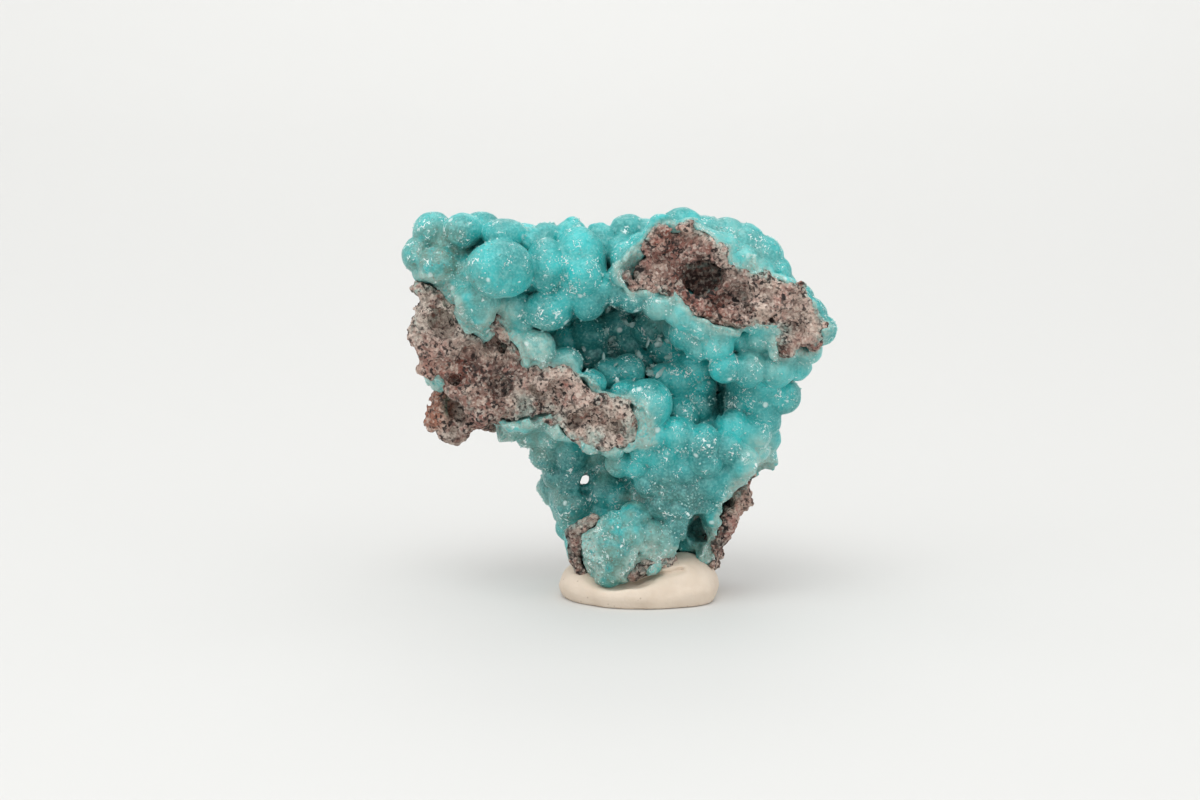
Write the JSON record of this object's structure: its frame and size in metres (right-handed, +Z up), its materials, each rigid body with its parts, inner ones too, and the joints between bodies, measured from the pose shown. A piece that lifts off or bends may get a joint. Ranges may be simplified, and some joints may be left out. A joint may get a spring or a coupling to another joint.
{
  "type": "hemimorphite specimen",
  "caption": "Blue botryoidal hemimorphite crust on a pitted, iron-stained brown rock, broken across at two ledges and stood upright in a pad of cream putty.",
  "frame": {"origin": "middle of the putty's flat underside, on the surface that the specimen stands on", "axes": "+X along the specimen's width, to the right as its blue face is seen; +Y from that face to its back; +Z up"},
  "size_m": [0.0515, 0.0256, 0.0474],
  "materials": {
    "iron_stained_rock": "broken and weathered limonitic rock, rough, dusty and pitted",
    "hemimorphite": "blue botryoidal crust with a fine sparkling skin of crystals, slightly translucent",
    "putty": "matte hand-pressed display putty"
  },
  "bodies": {
    "root": {"matrix": "iron_stained_rock", "hemimorphite_crust": "hemimorphite", "putty": "putty"}
  },
  "joints": []
}
